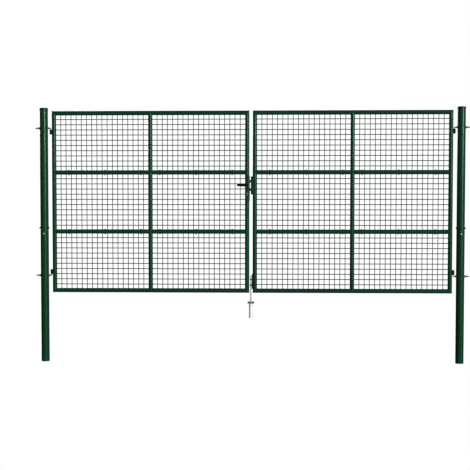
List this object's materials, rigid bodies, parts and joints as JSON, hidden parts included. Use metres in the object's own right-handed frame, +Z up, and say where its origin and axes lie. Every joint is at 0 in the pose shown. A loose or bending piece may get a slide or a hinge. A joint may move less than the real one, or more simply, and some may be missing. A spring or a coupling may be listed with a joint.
{
  "type": "mesh swing gate",
  "caption": "Double-leaf swing gate of round tube and welded square mesh on round posts, with pin hinges, lever lock and drop bolt.",
  "frame": {"origin": "centre of the left post's foot face", "axes": "+X along the gate from the left post to the right one, +Y away from the front, +Z up"},
  "size_m": [4.164, 0.114, 2.456],
  "materials": {
    "coat_green": "semi-gloss moss green powder coat",
    "mesh_green": "semi-gloss moss green coat on wire",
    "cap_green": "satin green",
    "bolt_steel": "zinc-plated, dull",
    "zinc": "bright zinc plate",
    "dark_steel": "dark coat, satin",
    "handle_black": "satin black"
  },
  "bodies": {
    "posts": {"left_post": "coat_green", "left_post_cap": "cap_green", "right_post": "coat_green", "right_post_cap": "cap_green", "left_upper_hinge_bolt": "bolt_steel", "left_lower_hinge_bolt": "bolt_steel", "right_upper_hinge_bolt": "bolt_steel", "right_lower_hinge_bolt": "bolt_steel", "ground_plate": "dark_steel", "ground_socket_tube": "zinc"},
    "left_leaf": {"left_hinge_stile": "coat_green", "left_meeting_stile": "coat_green", "left_mullion": "coat_green", "left_top_rail": "coat_green", "left_upper_rail": "coat_green", "left_lower_rail": "coat_green", "left_bottom_rail": "coat_green", "left_top_mesh": "mesh_green", "left_middle_mesh": "mesh_green", "left_bottom_mesh": "mesh_green", "left_upper_barrel": "coat_green", "left_lower_barrel": "coat_green", "lock_case": "coat_green", "lock_forend": "coat_green", "key_cylinder": "bolt_steel"},
    "right_leaf": {"right_hinge_stile": "coat_green", "right_meeting_stile": "coat_green", "right_mullion": "coat_green", "right_top_rail": "coat_green", "right_upper_rail": "coat_green", "right_lower_rail": "coat_green", "right_bottom_rail": "coat_green", "right_top_mesh": "mesh_green", "right_middle_mesh": "mesh_green", "right_bottom_mesh": "mesh_green", "right_upper_barrel": "coat_green", "right_lower_barrel": "coat_green", "keep": "coat_green", "drop_bolt_bracket": "dark_steel"},
    "lever": {"lever_handle": "handle_black"},
    "latch": {"latch_bolt": "bolt_steel"},
    "dead": {"dead_bolt": "dark_steel"},
    "rod": {"drop_rod": "zinc"}
  },
  "joints": [
    {"name": "left_leaf_swing", "type": "hinge", "parent": "posts", "child": "left_leaf", "pos_m": [0.0667, 0, 0.672], "axis": [0, 0, 1], "range_deg": [0, 90]},
    {"name": "right_leaf_swing", "type": "hinge", "parent": "posts", "child": "right_leaf", "pos_m": [3.9373, 0, 0.672], "axis": [0, 0, -1], "range_deg": [0, 90]},
    {"name": "lever_turn", "type": "hinge", "parent": "left_leaf", "child": "lever", "pos_m": [1.965, 0, 1.706], "axis": [0, -1, 0], "range_deg": [0, 40], "stiffness_Nm_per_rad": 1.2, "springref_deg": -28.65},
    {"name": "latch_slide", "type": "slide", "parent": "left_leaf", "child": "latch", "axis": [1, 0, 0], "range_m": [-0.0075, 0]},
    {"name": "dead_bolt_slide", "type": "slide", "parent": "left_leaf", "child": "dead", "axis": [1, 0, 0], "range_m": [-0.0075, 0.014]},
    {"name": "drop_rod_slide", "type": "slide", "parent": "right_leaf", "child": "rod", "axis": [0, 0, 1], "range_m": [-0.022, 0.1]}
  ],
  "couplings": [
    {"joint": "latch_slide", "follows": "lever_turn", "m_per_rad": -0.0107}
  ]
}
